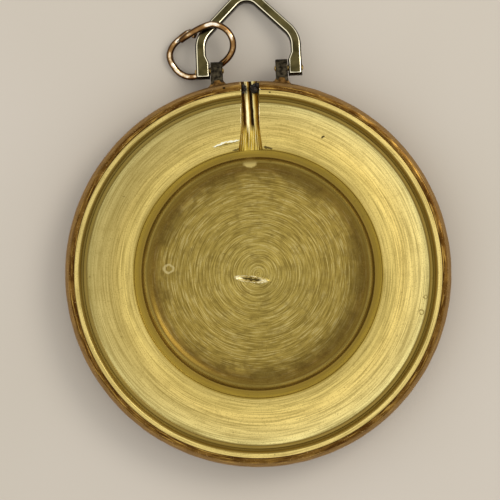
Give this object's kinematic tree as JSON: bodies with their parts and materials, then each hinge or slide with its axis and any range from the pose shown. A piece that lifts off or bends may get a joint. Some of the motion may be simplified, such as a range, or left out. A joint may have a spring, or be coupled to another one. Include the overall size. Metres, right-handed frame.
{
  "type": "locket",
  "caption": "Open round locket case with a turned well and a channel, on a pointed hinged bail with a split jump ring.",
  "frame": {"origin": "centre of the case's flat back, on the surface it lies on", "axes": "+Z out of the open side, +Y from the case's centre towards the bail, +X to the right when the open side is seen with the bail at the top"},
  "size_m": [0.04, 0.05, 0.0048],
  "materials": {
    "gilt_shell": "worn gilding over brass, browned and scratched",
    "turned_brass": "fine lathe-turned, gilt, lightly stained",
    "lug_metal": "dark tarnish with file marks",
    "solder": "rough brown hard solder",
    "bail_metal": "polished, pale gold, bevelled edges",
    "pin_metal": "drawn wire, ends peened",
    "ring_wire": "polished rose gold wire"
  },
  "bodies": {
    "case": {"outer_shell": "gilt_shell", "case_insert": "turned_brass", "lug_left": "lug_metal", "lug_right": "lug_metal", "solder_left": "solder", "solder_right": "solder"},
    "bail_frame": {"bail": "bail_metal", "bail_pin_left": "pin_metal", "bail_pin_right": "pin_metal"},
    "ring": {"jump_ring": "ring_wire"}
  },
  "joints": [
    {"name": "bail_swing", "type": "hinge", "parent": "case", "child": "bail_frame", "pos_m": [0, 0.0212, 0.0029], "axis": [1, 0, 0], "range_deg": [0, 115]},
    {"name": "ring_tilt", "type": "hinge", "parent": "bail_frame", "child": "ring", "pos_m": [-0.0036, 0.0242, 0.00202], "axis": [0.4852, 0.8127, 0.3226], "range_deg": [0, 45]}
  ]
}
